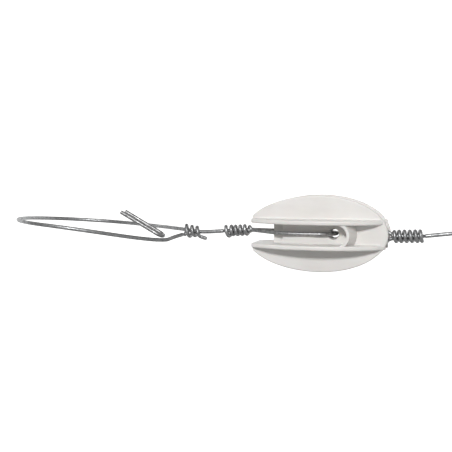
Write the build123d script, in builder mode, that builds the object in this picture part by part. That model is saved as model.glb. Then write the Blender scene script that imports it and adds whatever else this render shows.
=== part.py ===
from build123d import *

import math
import os

# Fence strain insulator tied in between a post and a fence wire.
# Millimetres, +Z up. +X runs along the fence, from the post to the fence wire.
# The origin is on the post's axis, in the middle of the tie wire's loop.

# ---------------------------------------------------------------- insulator
insulator_x = 163.0         # the insulator's centre, from the post's axis
half_length = 43.6          # tip of a jaw, from the centre
half_width = 24.3           # widest edge of a plate, from the centre
blunt_extra = 4.7           # the blunter ellipse is cut off this far inside its tip
channel_gap = 12.9          # clear width between a pair of plates
plate_thickness = 2.8
rim_round = 0.9             # soft edge round each plate
root_round = 1.0            # soft inside corner between crossing plates
root_sink = 0.2             # how far a cove's back runs into the plates
corner_round = 2.5          # corner where a plate is cut off over the jaws
upright_inset = 0.6         # the upright plates stop short of the jaws' tips by this much
neck_end = 29.8             # root of a jaw slot, from the centre
neck_half = 4.2             # half thickness of the thin neck behind a jaw slot
saddle_start = 23.5         # where the neck steps up to the saddle, from the centre
saddle_crown_x = 8.8        # crown of the saddle, from the centre
saddle_crown = 9.1          # half thickness of the core at the crown of the saddle
saddle_fall = 2.1           # the core is thinner by this much at the ends of the saddle
eye_x = 10.2                # outermost point of a wire's bend in its eye, from the centre
eye_throat_x = 9.2          # middle of an eye's throat, from the centre
eye_throat_radius = 2.55    # the eye at its narrowest, half way through
eye_inner_x = 9.0           # middle of the throat's wide end, where it leaves the core
eye_inner_radius = 3.9
recess_draft = 0.2          # an eye's recess is narrower by this much at its floor
eye_mouth_x = 12.8          # middle of an eye's mouth, from the centre
eye_mouth_clearance = 0.15  # the mouth is wider than the channel by this much, each side
collar_inset = 2.9          # the half collar's face lies inside the plates' widest edge
collar_land = 1.7           # flat rim of the half collar
collar_flare = 4.0          # the collar's flank widens by this much at its foot

# --------------------------------------------------------------------- wire
wire_diameter = 2.5
saddle_clearance = 0.25     # between a wire and the saddle that it bends round
jaw_clearance = 1.6         # from a jaw's tip to the first turn of the wrap
tie_rise = 1.2              # the tie wire meets the jaws this much above the middle
line_drop = 1.2             # the fence wire meets the jaws this much below the middle
pinch = 0.1                 # clearance between two strands side by side
tie_wrap_radius = 3.9       # outside of the tight turns beside the insulator
tie_wrap_length = 19.0
line_wrap_radius = 4.4      # outside of the fence wire's turns beside the insulator
line_wrap_length = 20.0
run_length = 13.0           # bare tie wire between its two wraps
end_wrap_radius = 4.8       # outside of the loose turns on the post's side
end_wrap_length = 12.5
end_wrap_height = -1.1      # the loose turns hang this much below the middle
leg_bend = 45.0             # easy bend where a leg leaves the saddle for the jaws
line_run_length = 33.0      # bare fence wire before its own fastening
line_end_wrap_length = 14.0
line_end_eye_radius = 9.0   # inside of the round eye that the fence wire ends in

line_wrap_height = -0.6
line_slope = 7.0            # degrees, the fence wire climbs away from the insulator
end_eye_mouth = 60.0        # degrees of the end eye that its legs leave open
end_eye_corners = 5

# --------------------------------------------------------------------- post
post_radius = 43.0          # the round post that the tie wire is seated on
seat_heights = (3.6, 6.4, 6.2, 3.4, 0.8)    # the loop's height, from its front round to its back
dip_back = 12.5             # where the front strand dips, before the loose turns
dip_side = 8.0
dip_height = -6.8
dip_bend = 12.0
staple_back = 2.2           # the staple's crown is this far towards the post from the dip
staple_inside = 1.6         # and this much nearer to the middle
staple_lift = 3.2           # and this much higher
staple_span = 8.0           # between the middles of the staple's legs
staple_length = 32.0
staple_tilt = 29.0          # degrees, its points are higher than its crown

half_gap = channel_gap / 2
blunt_length = half_length + blunt_extra
eye_mouth_radius = half_gap + eye_mouth_clearance
collar_height = half_width - collar_inset
saddle_shoulder = saddle_crown - saddle_fall
plate_outer = half_gap + plate_thickness
wire_radius = wire_diameter / 2
leg_offset = saddle_crown + saddle_clearance + wire_radius
saddle_far = 2 * saddle_crown_x - saddle_start
beyond = 2 * half_length
near = 0.001                # two coordinates closer than this are the same
os.makedirs("parts", exist_ok=True)


def save(piece, name):
    """Label a finished piece and write it as its own STEP file."""
    piece.label = name
    export_step(piece, f"parts/{name}.step")


# ------------------------------------------------------------ insulator body
# The moulding has two channels at right angles. The tie channel lies in the
# horizontal plane and opens towards the post. The line channel is the same
# channel given a quarter turn about X and turned end for end.
centre = Vector(insulator_x, 0, 0)
tie_channel = Plane(origin=centre, x_dir=(1, 0, 0), z_dir=(0, 0, 1))
line_channel = Plane(origin=centre, x_dir=(-1, 0, 0), z_dir=(0, 1, 0))


def plate_outline(plane, cut_off):
    """Half of a blunt ellipse towards the post, cut off square, and half an ellipse."""
    end = Vector(-1, 0, 0).dot(plane.x_dir) * cut_off
    cut_angle = math.degrees(math.acos(cut_off / blunt_length))
    blunt_arc = math.copysign(90 - cut_angle, end)
    with BuildSketch(plane) as outline:
        with BuildLine():
            EllipticalCenterArc((0, 0), half_length, half_width, 90, arc_size=math.copysign(180, end))
            lower = EllipticalCenterArc((0, 0), blunt_length, half_width, 270, arc_size=blunt_arc)
            upper = EllipticalCenterArc((0, 0), blunt_length, half_width, 90, arc_size=-blunt_arc)
            Line(lower @ 1, upper @ 1)
        make_face()
        corners = [v for v in outline.vertices() if abs(v.X - end) < near]
        fillet(corners, corner_round)
    return outline.sketch


def make_plate(channel, lift, cut_off):
    """One plate beside a channel, with softened rims."""
    with BuildPart() as plate:
        extrude(plate_outline(channel.offset(lift), cut_off), amount=plate_thickness, dir=channel.z_dir)
        broad_faces = plate.faces().sort_by(SortBy.AREA)[-2:]
        fillet(broad_faces.edges(), rim_round)
    return plate.part


def channel_cut(channel):
    """Plan of what a channel removes: the jaw slot and the space over its saddle."""
    with BuildSketch(channel) as core:
        with BuildLine():
            Polyline(
                (-neck_end, -neck_half),
                (-neck_end, neck_half),
                (-saddle_start, neck_half),
                (-saddle_start, saddle_shoulder),
            )
            ThreePointArc(
                (-saddle_start, saddle_shoulder),
                (-saddle_crown_x, saddle_crown),
                (-saddle_far, saddle_shoulder),
            )
            Polyline(
                (-saddle_far, saddle_shoulder),
                (eye_mouth_x, saddle_shoulder),
                (eye_mouth_x, -saddle_shoulder),
                (-saddle_far, -saddle_shoulder),
            )
            ThreePointArc(
                (-saddle_far, -saddle_shoulder),
                (-saddle_crown_x, -saddle_crown),
                (-saddle_start, -saddle_shoulder),
            )
            Polyline(
                (-saddle_start, -saddle_shoulder),
                (-saddle_start, -neck_half),
                (-neck_end, -neck_half),
            )
        make_face()
    with BuildSketch(channel) as plan:
        with Locations(((eye_mouth_x - beyond) / 2, 0)):
            Rectangle(eye_mouth_x + beyond, 2 * beyond)
        add(core.sketch_local, mode=Mode.SUBTRACT)
    return plan.sketch


def eye_plane(channel, x, height):
    """A plane across an eye, at a distance along the eye's axis."""
    origin = channel.from_local_coords(Vector(x, height, 0))
    return Plane(origin=origin, x_dir=channel.x_dir, z_dir=channel.y_dir)


def make_eye(channel, side):
    """The eye on one side: a flared throat through the core, then a wide recess."""
    with BuildPart() as hole:
        with BuildSketch(eye_plane(channel, eye_throat_x, 0)):
            Circle(eye_throat_radius)
        with BuildSketch(eye_plane(channel, eye_inner_x, side * saddle_crown)):
            Circle(eye_inner_radius)
        loft()
        with BuildSketch(eye_plane(channel, eye_mouth_x, side * saddle_shoulder)) as floor:
            Circle(eye_mouth_radius - recess_draft)
        with BuildSketch(eye_plane(channel, eye_mouth_x, side * half_width)) as mouth:
            Circle(eye_mouth_radius)
        loft([floor.sketch, mouth.sketch])
    return hole.part


def make_collar(channel, side):
    """The flared collar that keeps the wire's bend in the eye, on one side."""
    face_radius = eye_mouth_radius + collar_land
    with BuildPart() as collar:
        with BuildSketch(eye_plane(channel, eye_mouth_x, side * half_gap)):
            Circle(face_radius + collar_flare)
        with BuildSketch(eye_plane(channel, eye_mouth_x, side * collar_height)):
            Circle(face_radius)
        loft()
        with BuildSketch(channel) as band:
            with Locations((eye_mouth_x, 0)):
                Rectangle(4 * face_radius, 2 * half_width)
        extrude(band.sketch, amount=plate_outer - rim_round, both=True, mode=Mode.INTERSECT)
    return collar.part


def make_half(channel, cut_off):
    """The core with the two plates and the two collars of one channel."""
    with BuildPart() as half:
        with Locations(centre):
            Box(2 * neck_end, channel_gap, channel_gap)
        for lift in (half_gap, -plate_outer):
            add(make_plate(channel, lift, cut_off))
        for side in (1, -1):
            add(make_collar(channel, side))
    return half.part


def root_cove(corner, toward, span):
    """Fills the inside corner between two crossing plates with a concave quarter round.

    The corner and the directions it fills are in Y and Z, and it runs along X over span.
    """
    y, z = corner
    out_y, out_z = toward
    start, stop = (insulator_x + x for x in span)
    middle = (root_round - root_sink) / 2
    side = root_round + root_sink
    with BuildPart() as cove:
        with BuildSketch(Plane(origin=(start, 0, 0), x_dir=(0, 1, 0), z_dir=(1, 0, 0))):
            with Locations((y + out_y * middle, z + out_z * middle)):
                Rectangle(side, side)
            with Locations((y + out_y * root_round, z + out_z * root_round)):
                Circle(root_round, mode=Mode.SUBTRACT)
        extrude(amount=stop - start)
    return cove.part


channels = (tie_channel, line_channel)
eyes = [make_eye(c, side) for c in channels for side in (1, -1)]
cuts = [channel_cut(c) for c in channels]

# The outer corners run along the whole moulding. The inner ones line the closed
# end of each channel, from its collar's foot to the pointed or blunt end.
collar_end = eye_mouth_x + eye_mouth_radius + collar_land + collar_flare - rim_round
whole = (corner_round - half_length, half_length - 2 * corner_round)
signs = [(a, b) for a in (1, -1) for b in (1, -1)]
coves = [root_cove((plate_outer * a, plate_outer * b), (a, b), whole) for a, b in signs]
for a, b in signs:
    tie_end = (collar_end, whole[1])
    line_end = (whole[0], -collar_end)
    coves.append(root_cove((plate_outer * a, half_gap * b), (a, -b), tie_end))
    coves.append(root_cove((half_gap * a, plate_outer * b), (-a, b), line_end))

with BuildPart() as insulator_body:
    add(make_half(tie_channel, half_length))
    add(make_half(line_channel, half_length - upright_inset))
    for cut in cuts:
        extrude(cut, amount=half_gap, both=True, mode=Mode.SUBTRACT)
    for eye in eyes:
        add(eye, mode=Mode.SUBTRACT)
    for cove in coves:
        add(cove)
save(insulator_body.part, "insulator_body")


# ------------------------------------------------------------- wire helpers
def wire(points, radii, name):
    """Round wire along straight runs joined by tangent arcs."""
    points = [Vector(*p) for p in points]
    with BuildPart() as strand:
        with BuildLine():
            route = FilletPolyline(*points, radius=radii)
        with BuildSketch(Plane(origin=points[0], z_dir=points[1] - points[0])):
            Circle(wire_radius)
        sweep(path=route)
    section = math.pi * wire_radius**2
    length = route.length
    print(name, "arcs", [round(r, 1) for r in radii], "length", round(length, 1))
    print(name, "volume", round(strand.part.volume, 1), "section x length", round(section * length, 1))
    return strand.part


def sleeve(start, end, radius):
    """The outer shape of a tight wrap, from one point to another."""
    along = Vector(*end) - Vector(*start)
    with BuildPart() as wrap:
        with BuildSketch(Plane(origin=start, z_dir=along)):
            Circle(radius)
        extrude(amount=along.length)
    return wrap.part


def ring_corners(radius, first_angle, turn, count):
    """Corners of a polygon whose sides touch a circle, from one tangent to another."""
    step = turn / count
    reach = radius / math.cos(math.radians(step / 2))
    angles = [math.radians(first_angle + step * (i + 0.5)) for i in range(count)]
    return [(reach * math.cos(a), reach * math.sin(a)) for a in angles]


def eye_loop(channel, across, along_normal, name):
    """The hairpin of wire through an eye, with its two legs drawn together at the jaws.

    The legs meet off the channel's middle, across the channel and along its normal.
    """
    tip = -(half_length + jaw_clearance)
    bend = -saddle_start
    legs = wire_radius + pinch / 2
    meet = [(tip, across + legs, along_normal), (tip, across - legs, along_normal)]
    upper = [(bend, leg_offset, 0), (eye_x, leg_offset, 0)]
    lower = [(eye_x, -leg_offset, 0), (bend, -leg_offset, 0)]
    local = [meet[0]] + upper + lower + [meet[1]]
    points = [channel.from_local_coords(Vector(*p)) for p in local]
    turn = leg_offset - pinch
    return wire(points, [leg_bend, turn, turn, leg_bend], name)


# --------------------------------------------------- tie wire, post to insulator
jaw_tip = half_length + jaw_clearance
save(eye_loop(tie_channel, 0, tie_rise, "post_tie_eye_loop"), "post_tie_eye_loop")

tie_wrap_end = (insulator_x - jaw_tip, 0, tie_rise)
tie_wrap_start = (tie_wrap_end[0] - tie_wrap_length, 0, 0)
end_wrap_end = (tie_wrap_start[0] - run_length, 0, end_wrap_height)
end_wrap_start = (end_wrap_end[0] - end_wrap_length, 0, end_wrap_height)
save(sleeve(tie_wrap_end, tie_wrap_start, tie_wrap_radius), "post_tie_wrap")
save(sleeve(tie_wrap_start, end_wrap_end, wire_radius), "post_tie_run")
save(sleeve(end_wrap_end, end_wrap_start, end_wrap_radius), "post_tie_end_wrap")

# The loop lies round the post, higher on the side away from the insulator. Its
# two ends leave the post along tangents and lie side by side in the loose turns.
strand = wire_radius + pinch / 2
loop_radius = post_radius + wire_radius
tangent_angle = math.degrees(math.acos(loop_radius / end_wrap_start[0]))
around = ring_corners(loop_radius, -tangent_angle, 2 * tangent_angle - 360, len(seat_heights))
seat = [(x, y, z) for (x, y), z in zip(around, seat_heights)]
front_end = (end_wrap_start[0], -strand, end_wrap_height - strand)
dip = (end_wrap_start[0] - dip_back, -dip_side, dip_height)
back_end = (end_wrap_start[0], strand, end_wrap_height + strand)
loop_arcs = [dip_bend] + [loop_radius - 2 * wire_radius] * len(seat)
save(wire([front_end, dip] + seat + [back_end], loop_arcs, "post_loop"), "post_loop")

# The staple is driven into the post beside the loop, its crown over the dip.
staple_run = Vector(-math.cos(math.radians(staple_tilt)), 0, math.sin(math.radians(staple_tilt)))
crown_middle = Vector(*dip) + Vector(-staple_back, staple_inside, staple_lift)
crown = [crown_middle + Vector(0, side * staple_span / 2, 0) for side in (-1, 1)]
points_in = [corner + staple_run * staple_length for corner in crown]
staple_points = [points_in[0], crown[0], crown[1], points_in[1]]
staple_arcs = [staple_span / 2 - pinch] * 2
save(wire(staple_points, staple_arcs, "post_staple"), "post_staple")

# ------------------------------------------------ line wire, insulator to fence
save(eye_loop(line_channel, -line_drop, 0, "line_wire_eye_loop"), "line_wire_eye_loop")

line_wrap_start = (insulator_x + jaw_tip, 0, -line_drop)
line_wrap_end = (line_wrap_start[0] + line_wrap_length, 0, line_wrap_height)
line_rise = line_run_length * math.sin(math.radians(line_slope))
line_reach = line_run_length * math.cos(math.radians(line_slope))
end_start = (line_wrap_end[0] + line_reach, 0, line_wrap_height + line_rise)
end_plane = Plane(
    origin=end_start,
    x_dir=(math.cos(math.radians(line_slope)), 0, math.sin(math.radians(line_slope))),
    z_dir=(0, -1, 0),
)
end_stop = end_plane.from_local_coords(Vector(line_end_wrap_length, 0, 0))
save(sleeve(line_wrap_start, line_wrap_end, line_wrap_radius), "line_wire_wrap")
save(sleeve(line_wrap_end, end_start, wire_radius), "line_wire_run")
save(sleeve(end_start, end_stop, line_wrap_radius), "line_end_wrap")

# The fence wire ends in a round eye, its two legs side by side in the last turns.
eye_centreline = line_end_eye_radius + wire_radius
eye_centre = line_end_wrap_length + eye_centreline / math.cos(math.radians(end_eye_mouth / 2))
ring = ring_corners(eye_centreline, 180 - end_eye_mouth / 2, end_eye_mouth - 360, end_eye_corners)
legs_in = [(line_end_wrap_length, strand), (line_end_wrap_length, -strand)]
local_eye = [legs_in[0]] + [(eye_centre + x, y) for x, y in ring] + [legs_in[1]]
eye_points = [end_plane.from_local_coords(Vector(x, y, 0)) for x, y in local_eye]
eye_arcs = [eye_centreline - pinch] * end_eye_corners
save(wire(eye_points, eye_arcs, "line_end_eye"), "line_end_eye")
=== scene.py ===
# %% [markdown]
# # A strain insulator tied into a fence
# A strain insulator keeps the pull of a fence wire on the post while it keeps the
# wire's current off it. The plastic part has two eyes at right angles. A wire loop
# goes through each, and the two loops pull against each other through the plastic,
# so the plastic is only squeezed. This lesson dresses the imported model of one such
# insulator, with the tie wire on the post's side and the fence wire on the other.

# %% The frame
import math

import bpy
import numpy as np
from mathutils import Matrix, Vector


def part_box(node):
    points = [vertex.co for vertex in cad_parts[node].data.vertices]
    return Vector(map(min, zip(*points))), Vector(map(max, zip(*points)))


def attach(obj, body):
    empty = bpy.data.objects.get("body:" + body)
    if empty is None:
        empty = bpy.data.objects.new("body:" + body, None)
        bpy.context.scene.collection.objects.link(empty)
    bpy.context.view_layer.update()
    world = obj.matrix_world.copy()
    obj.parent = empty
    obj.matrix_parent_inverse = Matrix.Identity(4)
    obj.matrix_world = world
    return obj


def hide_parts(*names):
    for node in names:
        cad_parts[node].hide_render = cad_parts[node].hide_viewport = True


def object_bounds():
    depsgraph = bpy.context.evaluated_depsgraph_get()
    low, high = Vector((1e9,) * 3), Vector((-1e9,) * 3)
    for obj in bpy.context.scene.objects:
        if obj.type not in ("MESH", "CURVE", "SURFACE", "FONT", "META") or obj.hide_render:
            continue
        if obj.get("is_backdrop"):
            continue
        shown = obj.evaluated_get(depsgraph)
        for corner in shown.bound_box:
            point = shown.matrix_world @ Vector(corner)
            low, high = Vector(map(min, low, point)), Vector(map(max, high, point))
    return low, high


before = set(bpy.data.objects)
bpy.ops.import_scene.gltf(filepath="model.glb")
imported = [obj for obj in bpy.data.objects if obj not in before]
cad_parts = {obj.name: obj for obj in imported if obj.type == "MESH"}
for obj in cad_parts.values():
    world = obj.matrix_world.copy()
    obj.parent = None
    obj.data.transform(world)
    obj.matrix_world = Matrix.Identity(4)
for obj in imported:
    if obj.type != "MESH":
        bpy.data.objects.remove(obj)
cad_bounds = [list(corner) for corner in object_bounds()]
MM = 0.001
body_low, body_high = (np.array(corner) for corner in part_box("insulator_body"))
CENTRE = (body_low + body_high) / 2
print("insulator", np.round((body_high - body_low) / MM, 1), "centre", np.round(CENTRE / MM, 1))

# %% [markdown]
# ## The camera
# A small object is shown without distortion by a long lens from a good way off. The
# camera stands a little to the fence's side of the insulator and just above it, so
# that one sees into the channel in front and along the far plate at the right. It
# looks past the insulator towards the post, which puts the insulator right of centre.

# %% Camera
VIEW_DISTANCE = 0.62
VIEW_AZIMUTH = math.radians(9.5)
VIEW_ELEVATION = math.radians(4.7)
LOOK_YAW = math.radians(15.14)
LOOK_PITCH = math.radians(-4.31)
LENS = 76.8  # mm, on a film 36 mm wide


def make_camera():
    """A camera on a sphere round the insulator: azimuth round Z, elevation above it."""
    flat = VIEW_DISTANCE * math.cos(VIEW_ELEVATION)
    place = CENTRE + np.array([
        flat * math.sin(VIEW_AZIMUTH),
        -flat * math.cos(VIEW_AZIMUTH),
        VIEW_DISTANCE * math.sin(VIEW_ELEVATION),
    ])
    data = bpy.data.cameras.new("camera")
    data.lens = LENS
    data.sensor_width = 36
    camera = bpy.data.objects.new("camera", data)
    camera.location = place
    camera.rotation_euler = (math.pi / 2 + LOOK_PITCH, 0, LOOK_YAW)
    bpy.context.collection.objects.link(camera)
    bpy.context.scene.camera = camera
    return camera


camera = make_camera()
print("camera", [round(v, 3) for v in camera.location])

# %% [markdown]
# ## The two cords
# Both wires are held taut, so they are stiff cords with almost straight runs. The tie
# wire leaves its tight turns, runs through its loose turns, goes round the back of the
# post and comes back along the front to the same loose turns, which are its knot. A
# NURBS curve of order 3 is right for it, because it only touches its control polygon
# half way along each side, and so bends as evenly as wire that has been pulled tight.

# %% Tubes
WIRE_RADIUS = 1.25 * MM
BURR = 0.8  # the radius of a cut end, as a share of the wire's


def tube(line, up, radius=WIRE_RADIUS, sides=16):
    """A round tube: at each point of the line, radius times (cos a N + sin a B).

    N is up without its part along the line, and B is square to both. The two end
    rings are smaller, which is the burr that the pliers leave.
    """
    tangent = np.gradient(line, axis=0)
    tangent /= np.linalg.norm(tangent, axis=1, keepdims=True)
    side = up - (up * tangent).sum(1, keepdims=True) * tangent
    side /= np.linalg.norm(side, axis=1, keepdims=True)
    other = np.cross(tangent, side)
    angle = np.linspace(0, 2 * np.pi, sides, endpoint=False)
    swell = np.ones(len(line))
    swell[[0, -1]] = BURR
    across, over = np.cos(angle)[None, :, None], np.sin(angle)[None, :, None]
    ring = across * side[:, None] + over * other[:, None]
    skin = line[:, None] + radius * swell[:, None, None] * ring
    points = np.concatenate([skin.reshape(-1, 3), line[:1], line[-1:]])
    i, j = np.meshgrid(np.arange(len(line) - 1), np.arange(sides), indexing="ij")
    after = (j + 1) % sides
    here, ahead = i * sides, (i + 1) * sides
    walls = np.stack([here + j, here + after, ahead + after, ahead + j], -1)
    around = np.arange(sides)
    onward = (around + 1) % sides
    last = (len(line) - 1) * sides
    first_cap = np.stack([np.full(sides, last + sides), onward, around], 1)
    last_cap = np.stack([np.full(sides, last + sides + 1), last + around, last + onward], 1)
    return points, walls.reshape(-1, 4).tolist() + first_cap.tolist() + last_cap.tolist()


def join(name, tubes, body):
    """One smooth mesh of several tubes, that rides on a body."""
    points, faces, count = [], [], 0
    for skin, cells in tubes:
        points.append(skin)
        faces += [[corner + count for corner in cell] for cell in cells]
        count += len(skin)
    mesh = bpy.data.meshes.new(name)
    mesh.from_pydata(np.concatenate(points).tolist(), [], faces)
    mesh.polygons.foreach_set("use_smooth", np.array([len(cell) == 4 for cell in faces]))
    piece = bpy.data.objects.new(name, mesh)
    bpy.context.collection.objects.link(piece)
    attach(piece, body)
    print(name, len(faces), "faces")
    return piece


# %% [markdown]
# ### Where the two wires run
# Each route is a short list of control points in millimetres. The spline is only a
# guide: its points are read once, and the wire is a tube built along them, so that
# its skin and its stated path are the same line.

# %% Routes
TIE_START = (98.8, 0.0, 0.0)
TIE_ROUTE = [
    TIE_START,
    (85.8, 0.0, -1.1),
    (78.0, 0.3, -0.6),
    (69.0, 3.4, 0.5),
    (10.0, 48.0, 0.8),
    (-31.0, 38.2, 3.4),
    (-49.0, 0.0, 6.2),
    (-31.0, -38.2, 6.4),
    (10.0, -48.0, 3.6),
    (59.0, -9.4, -7.4),
    (66.0, -3.5, -4.2),
    (70.3, 0.9, -3.0),
]
LINE_START = (228.2, 0.0, -0.6)
LINE_STOP = (260.95, 0.0, 3.42)
LINE_ROUTE = [LINE_START, (244.0, 0.0, 1.25), LINE_STOP]


def follow(route):
    """The middle line of an open NURBS spline of order 3 with the route as its control points."""
    data = bpy.data.curves.new("route", "CURVE")
    data.dimensions = "3D"
    spline = data.splines.new("NURBS")
    spline.points.add(len(route) - 1)
    places = np.ones((len(route), 4))
    places[:, :3] = np.array(route) * MM
    spline.points.foreach_set("co", places.ravel())
    spline.order_u = 3
    spline.use_endpoint_u = True
    spline.resolution_u = 24
    guide = bpy.data.objects.new("route", data)
    bpy.context.collection.objects.link(guide)
    bare = bpy.data.meshes.new_from_object(guide)
    line = np.empty(len(bare.vertices) * 3)
    bare.vertices.foreach_get("co", line)
    bpy.data.objects.remove(guide)
    bpy.data.meshes.remove(bare)
    return line.reshape(-1, 3)


def upright(line):
    """Straight up, once for each point of a line."""
    return np.tile([0.0, 0.0, 1.0], (len(line), 1))


tie_line = follow(TIE_ROUTE)
fence_line = follow(LINE_ROUTE)
tie_wire = join("tie_wire_round_post", [tube(tie_line, upright(tie_line))], "post_tie")
fence_wire = join("fence_wire_run", [tube(fence_line, upright(fence_line))], "line_wire")
for cord in (tie_line, fence_line):
    steps = np.linalg.norm(np.diff(cord, axis=0), axis=1)
    print("length", round(steps.sum() / MM, 1), "mm")

# %% [markdown]
# ## Wire turns
# A fence wire is fastened by winding its end round itself. Each winding is one tube
# along a helix that is drawn by hand with pliers, so its pitch and its radius wander
# from turn to turn. The helix is worked out from a short table of where each turn is,
# which is easier to change than a spiral made with the Screw modifier, and it lets the
# turns start from the two legs that leave the insulator side by side.

# %% Helix
STEPS_PER_TURN = 44
SMOOTHING = 5  # steps each side of a point that are averaged


def smooth(values, width):
    """A running average that keeps the two ends where they are."""
    ahead = 2 * values[0] - values[width:0:-1]
    behind = 2 * values[-1] - values[-2:-width - 2:-1]
    padded = np.concatenate([ahead, values, behind])
    return np.convolve(padded, np.ones(2 * width + 1) / (2 * width + 1), "valid")


def on_axis(axis, x):
    """The points of a line that runs along X, at given x."""
    y, z = (np.interp(x, axis[:, 0], axis[:, k]) for k in (1, 2))
    return np.stack([x, y, z], 1)


def winding(axis, table, first_angle, hand=1):
    """A helix round an axis that runs along X.

    The table has rows of (turn, x in mm, radius in mm). At turn n the line is at x(n),
    r(n) from the axis, at the first angle plus n whole turns. Angles are from +Y to +Z.
    """
    turns, places, radii = np.array(table, dtype=float).T
    steps = int(STEPS_PER_TURN * (turns[-1] - turns[0])) + 2
    n = np.linspace(turns[0], turns[-1], steps)
    x = smooth(np.interp(n, turns, places), SMOOTHING) * MM
    radius = smooth(np.interp(n, turns, radii), SMOOTHING) * MM
    angle = math.radians(first_angle) + hand * 2 * np.pi * n
    outward = np.stack([np.zeros_like(n), np.cos(angle), np.sin(angle)], 1)
    return on_axis(axis, x) + radius[:, None] * outward, outward


def legs_to_core(axis, table, first_angle, hand, stop):
    """The standing wire: it starts opposite the winding wire, and settles on the axis."""
    lead, outward = winding(axis, table, first_angle, hand)
    end = np.array(stop)
    rest = np.linspace(lead[-1] / MM, end, 9)[1:] * MM
    line = np.concatenate([lead, rest])
    return line, upright(line)


# %% [markdown]
# ### The tight turns beside the insulator
# The hairpin's front leg winds over the top of its back leg and round it five times.
# The last turn is slack and leans, because the pliers let go of it there.

# %% Tight turns
tie_axis = np.array([TIE_START, (117.8, 0.0, 1.2)]) * MM
tie_table = [
    (0, 117.8, 1.3),
    (0.25, 116.0, 1.9),
    (0.55, 115.0, 2.7),
    (1, 113.6, 2.7),
    (2, 110.5, 2.65),
    (3, 107.4, 2.7),
    (4, 104.4, 2.65),
    (4.45, 103.3, 2.9),
    (4.75, 102.6, 3.5),
    (5, 101.2, 3.4),
    (5.3, 99.9, 2.75),
]
core_table = [(0, 117.8, 1.3), (0.25, 116.0, 0.7), (0.55, 115.0, 0), (0.7, 114.0, 0)]
tight_turns = join("tie_tight_turns", [
    tube(*winding(tie_axis, tie_table, 180, -1)),
    tube(*legs_to_core(tie_axis, core_table, 0, -1, TIE_START)),
], "post_tie")
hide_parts("post_tie_wrap")

# %% [markdown]
# ### The loose turns beside the post
# The end of the loop comes up behind the standing wire, goes over it and round it
# three times, wide at first and then tighter, and its cut end sticks out below.

# %% Loose turns
run_part = tie_line[: np.argmax(tie_line[:, 0] < 60 * MM)][::-1]
loose_table = [
    (0, 70.3, 3.6),
    (0.25, 71.3, 3.0),
    (0.5, 72.2, 2.8),
    (0.75, 73.7, 3.2),
    (1, 75.0, 4.1),
    (1.25, 75.8, 3.2),
    (1.5, 76.4, 2.7),
    (1.75, 77.6, 2.7),
    (2, 78.9, 3.0),
    (2.5, 80.2, 2.65),
    (2.75, 81.4, 2.7),
    (2.95, 82.3, 3.0),
]
turns_line, turns_up = winding(run_part, loose_table, 270)
leave = turns_line[-1]
heading = turns_line[-1] - turns_line[-2]
heading /= np.linalg.norm(heading)
tail_end = np.array([87.0, -0.8, -5.2]) * MM
tail_bend = leave + heading * 1.6 * MM
t = np.linspace(0, 1, 12)[1:, None]
tail = (1 - t) ** 2 * leave + 2 * t * (1 - t) * tail_bend + t ** 2 * tail_end
loose_line = np.concatenate([turns_line, tail])
loose_up = np.concatenate([turns_up, np.tile(turns_up[-1], (len(tail), 1))])
loose_turns = join("tie_loose_turns", [tube(loose_line, loose_up)], "post_tie")
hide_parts("post_tie_end_wrap")
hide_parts("post_tie_run", "post_loop")

# %% [markdown]
# ### The fence wire's turns
# Six even turns hold the fence wire's loop. The lower leg winds round the upper one.

# %% Fence side
wrap_axis = np.array([(208.2, 0.0, -1.2), LINE_START]) * MM
wrap_table = [
    (0, 208.2, 1.3),
    (0.3, 209.0, 2.3),
    (0.6, 209.7, 3.15),
    (0.75, 210.1, 3.15),
    (1.75, 213.2, 3.1),
    (2.75, 216.5, 3.15),
    (3.75, 219.8, 3.1),
    (4.75, 223.1, 3.15),
    (5.75, 226.2, 3.15),
    (6.02, 226.8, 3.1),
]
upper_table = [(0, 208.2, 1.3), (0.3, 209.0, 0.7), (0.6, 209.7, 0), (0.7, 210.6, 0)]
fence_turns = join("fence_wire_turns", [
    tube(*winding(wrap_axis, wrap_table, 270)),
    tube(*legs_to_core(wrap_axis, upper_table, 90, 1, LINE_START)),
], "line_wire")
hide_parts("line_wire_wrap")

# %% [markdown]
# ### The fence wire's far end
# The wire goes out of sight here, so it ends as the next fastening would begin: in a
# round eye with four turns behind it.

# %% Far end
END_STOP = (274.85, 0.0, 5.13)
end_axis = np.array([LINE_STOP, END_STOP]) * MM
end_table = [(0, 274.7, 1.3), (0.3, 273.7, 2.3), (0.6, 272.9, 3.1), (4.1, 261.9, 3.1)]
end_core = [(0, 274.7, 1.3), (0.3, 273.7, 0.7), (0.6, 272.9, 0), (0.7, 272.2, 0)]
end_turns = join("fence_wire_end_turns", [
    tube(*winding(end_axis, end_table, 270, -1)),
    tube(*legs_to_core(end_axis, end_core, 90, -1, LINE_STOP)),
], "line_wire")
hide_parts("line_end_wrap")
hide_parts("line_wire_run")

# %% [markdown]
# ## Shader maths as Python
# A node tree is easier to read as sums than as boxes. This small class holds one
# socket, and its operators add the Math nodes, so that `1 - mask * 0.3` is written as
# it is thought. Any other node comes from one method that takes the node's type, its
# settings and the values or links of its sockets.

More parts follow.
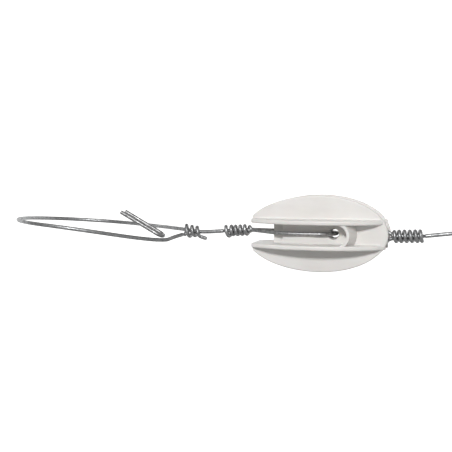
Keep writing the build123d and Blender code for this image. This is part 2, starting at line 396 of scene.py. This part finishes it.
# %% Value class
class Value:
    """One output socket of a node tree, with arithmetic."""

    def __init__(self, tree, socket):
        self.tree = tree
        self.socket = socket

    def node(self, kind, settings=None, output=0, **inputs):
        """Adds a node, sets it up, feeds its sockets, and gives one of its outputs."""
        made = self.tree.nodes.new(kind)
        for name, value in (settings or {}).items():
            setattr(made, name, value)
        for name, value in inputs.items():
            numbered = name[0] == "i" and name[1:].isdigit()
            key = int(name[1:]) if numbered else name.replace("_", " ")
            if isinstance(value, Value):
                self.tree.links.new(value.socket, made.inputs[key])
            else:
                made.inputs[key].default_value = value
        return Value(self.tree, made.outputs[output])

    def math(self, operation, left, right=0.0):
        return self.node("ShaderNodeMath", {"operation": operation}, i0=left, i1=right)

    def __add__(self, other):
        return self.math("ADD", self, other)

    __radd__ = __add__

    def __sub__(self, other):
        return self.math("SUBTRACT", self, other)

    def __rsub__(self, other):
        return self.math("SUBTRACT", other, self)

    def __mul__(self, other):
        return self.math("MULTIPLY", self, other)

    __rmul__ = __mul__

    def ramp(self, low, high):
        """0 below low, 1 above high, and a straight line between."""
        settings = {"clamp": True}
        return self.node("ShaderNodeMapRange", settings, Value=self, From_Min=low, From_Max=high)

    def mix(self, first, second):
        """The first colour where this value is 0, the second where it is 1."""
        settings = {"data_type": "RGBA"}
        return self.node("ShaderNodeMix", settings, output=2, i0=self, i6=first, i7=second)


def new_material(name):
    """An empty material: its object coordinates, and a function that feeds its shader."""
    material = bpy.data.materials.new(name)
    material.use_nodes = True
    tree = material.node_tree
    shader = tree.nodes["Principled BSDF"]
    places = tree.nodes.new("ShaderNodeTexCoord")
    place = Value(tree, places.outputs["Object"])

    def finish(**inputs):
        for name, value in inputs.items():
            socket = shader.inputs[name.replace("_", " ")]
            if isinstance(value, Value):
                tree.links.new(value.socket, socket)
            else:
                socket.default_value = value
        return material

    return place, finish


def noise(place, scale, detail=2.0, roughness=0.5):
    """Cloudy noise, about 0 to 1, with features of about 1 / scale metres."""
    return place.node(
        "ShaderNodeTexNoise", None, 0, Vector=place, Scale=scale, Detail=detail, Roughness=roughness
    )


def bump(height, strength, distance):
    """A Bump node's normal from a height."""
    return height.node("ShaderNodeBump", None, 0, Height=height, Strength=strength, Distance=distance)


# %% [markdown]
# ## White moulded plastic
# The insulator is a glass-filled polymer, moulded white so that the sun ages it slowly. Up close it
# isn't one flat white: flow lines and a faint grain break up its satin gloss, dust dulls it in
# patches, and a little light goes into it and comes out again. Subsurface light, and a colour,
# roughness and relief that vary, give that, without a drawn pattern.

# %% Plastic
def plastic():
    """Satin white: a cloud and long flow lines in the colour, a fine grain in the gloss."""
    place, finish = new_material("moulded_plastic")
    cloud = noise(place, 45, 3)
    flow_place = place.node("ShaderNodeMapping", None, 0, Vector=place, Scale=(35, 160, 160))
    flow = noise(flow_place, 1.0, 3)
    grain = noise(place, 2600, 2)
    tint = (cloud * 0.5 + flow * 0.5).ramp(0.35, 0.68)
    colour = tint.mix((0.735, 0.715, 0.690, 1), (0.80, 0.785, 0.765, 1))
    roughness = 0.30 + cloud * 0.16 + grain * 0.06
    relief = grain * 0.25 + flow * 0.75
    return finish(
        Base_Color=colour,
        Roughness=roughness,
        Normal=bump(relief, 0.10, 0.0004),
        Subsurface_Weight=0.05,
        Subsurface_Scale=0.001,
        IOR=1.5,
    )


# %% [markdown]
# ## Galvanised wire
# Fence wire is drawn steel with a skin of zinc. New zinc is bright; after a season it
# is a dull grey with lighter and darker patches, fine lines where the die dragged,
# and dark scuffs where pliers turned it. Almost all of the wire lies along the fence,
# so the lines are a noise that is stretched along X, and no unwrapping is needed. The
# dull look comes from a middling roughness on a shader that is mostly metal.

# %% Zinc
def zinc(name, dark, light):
    """Drawn wire: cloudy patches, small zinc crystals and long fine lines, mixed as one tone."""
    place, finish = new_material(name)
    patches = noise(place, 420, 4, 0.6)
    spangle = noise(place, 1500, 2)
    line_place = place.node("ShaderNodeMapping", None, 0, Vector=place, Scale=(60, 900, 900))
    lines = noise(line_place, 1.0, 3)
    tone = (patches * 0.55 + spangle * 0.25 + lines * 0.2).ramp(0.38, 0.64)
    colour = tone.mix(dark, light)
    roughness = 0.50 - tone * 0.16
    relief = lines * 0.6 + spangle * 0.4
    return finish(
        Base_Color=colour,
        Roughness=roughness,
        Metallic=0.85,
        Normal=bump(relief, 0.25, 0.0002),
    )


# %% [markdown]
# ## Dressing the pieces
# The imported pieces keep their shapes, and take the two finishes. The pieces drawn here take the
# wire's finish too.

# %% Dress
WIRE_ZINC = zinc("wire_zinc", (0.22, 0.225, 0.23, 1), (0.50, 0.505, 0.51, 1))
STAPLE_ZINC = zinc("staple_zinc", (0.20, 0.20, 0.205, 1), (0.46, 0.46, 0.46, 1))
PLASTIC = plastic()
print("materials", [m.name for m in (PLASTIC, WIRE_ZINC, STAPLE_ZINC)])


def dress(piece, material):
    """Puts one material on every slot of a piece."""
    slots = piece.data.materials
    slots.clear()
    slots.append(material)


dress(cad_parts["insulator_body"], PLASTIC)
dress(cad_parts["post_staple"], STAPLE_ZINC)
for name in ("post_tie_eye_loop", "line_wire_eye_loop", "line_end_eye"):
    dress(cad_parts[name], WIRE_ZINC)
for piece in (tie_wire, tight_turns, loose_turns, fence_wire, fence_turns, end_turns):
    dress(piece, WIRE_ZINC)

# %% [markdown]
# ## A pale stage
# A white part is read by its shadows, so the stage should be white where it is seen
# and should throw little light back on the part. The floor bends up into a wall all
# round, which leaves no horizon from any side. Near the part it is a mid grey that
# swallows light; farther off it glows by itself, most at the back.

# %% Floor
def round_floor():
    """A floor that bends up into a wall: a profile of radius and height, turned about Z."""
    reach, sweep, drop, height = 3.2, 1.3, 0.6, 3.0
    bend = np.linspace(0, np.pi / 2, 16)
    radius = np.concatenate([[0.001], reach - sweep + sweep * np.sin(bend), [reach]])
    rise = np.concatenate([[0], sweep * (1 - np.cos(bend)), [height]]) - drop
    angle = np.linspace(0, 2 * np.pi, 96, endpoint=False)
    ring = np.stack([np.cos(angle), np.sin(angle)], 1)
    flat = radius[:, None, None] * ring[None] + CENTRE[:2]
    heights = np.broadcast_to(rise[:, None, None], flat.shape[:2] + (1,))
    points = np.concatenate([flat, heights], 2)
    i, j = np.meshgrid(np.arange(len(radius) - 1), np.arange(len(angle)), indexing="ij")
    after = (j + 1) % len(angle)
    n = len(angle)
    here, outer = i * n, (i + 1) * n
    faces = np.stack([here + j, outer + j, outer + after, here + after], -1).reshape(-1, 4)
    mesh = bpy.data.meshes.new("floor")
    mesh.from_pydata(points.reshape(-1, 3).tolist(), [], faces.tolist())
    mesh.polygons.foreach_set("use_smooth", np.ones(len(faces), dtype=bool))
    sheet = bpy.data.objects.new("floor", mesh)
    bpy.context.collection.objects.link(sheet)
    sheet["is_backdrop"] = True
    return sheet


floor = round_floor()
place, finish = new_material("floor_white")
distance = {"operation": "DISTANCE"}
away = place.node("ShaderNodeVectorMath", distance, 1, i0=place, i1=tuple(CENTRE))
depth = place.node("ShaderNodeSeparateXYZ", None, 1, Vector=place)
glow = away.ramp(0.8, 1.5) * (0.09 + depth.ramp(-0.4, 0.6) * 0.91)
floor.data.materials.append(finish(
    Base_Color=(0.45, 0.45, 0.45, 1),
    Roughness=0.9,
    Emission_Color=glow.mix((0, 0, 0, 1), (1, 1, 1, 1)),
    Emission_Strength=1.0,
))
print("floor", len(floor.data.polygons), "faces")

# %% [markdown]
# ## Two soft lights
# One lamp in front and above draws the ribs' shadows on the lower plate. It is small
# enough to give those shadows an edge. The second is large and almost overhead, and
# only lifts the top faces. A weak warm world light fills the deepest folds.

# %% Lights
def area_light(name, azimuth, elevation, distance, size, power):
    """A square soft box aimed at the insulator from an azimuth and an elevation."""
    data = bpy.data.lights.new(name, "AREA")
    data.size = size
    data.energy = power
    lamp = bpy.data.objects.new(name, data)
    a, e = math.radians(azimuth), math.radians(elevation)
    away = Vector((math.sin(a) * math.cos(e), -math.cos(a) * math.cos(e), math.sin(e)))
    lamp.location = Vector(CENTRE) + away * distance
    lamp.rotation_euler = away.to_track_quat("Z", "Y").to_euler()
    bpy.context.collection.objects.link(lamp)
    return lamp


area_light("key", 2, 24.5, 1.6, 0.2, 16.4)
area_light("fill_from_above", -20, 62, 1.5, 1.2, 4.5)
world = bpy.data.worlds.new("studio")
world.use_nodes = True
world.node_tree.nodes["Background"].inputs["Color"].default_value = (1, 0.92, 0.83, 1)
world.node_tree.nodes["Background"].inputs["Strength"].default_value = 0.08
bpy.context.scene.world = world
bpy.context.scene.view_settings.view_transform = "Standard"

# %% [markdown]
# ## The sizes
# The dressed part must fill the same box as the imported one, so both boxes are printed.

# %% Sizes and the end
bpy.context.view_layer.update()
visual_bounds = [list(corner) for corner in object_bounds()]
({"cad": [list(map(float, c)) for c in cad_bounds],
           "visual": [list(map(float, c)) for c in visual_bounds]})
print("bounds", cad_bounds, visual_bounds)
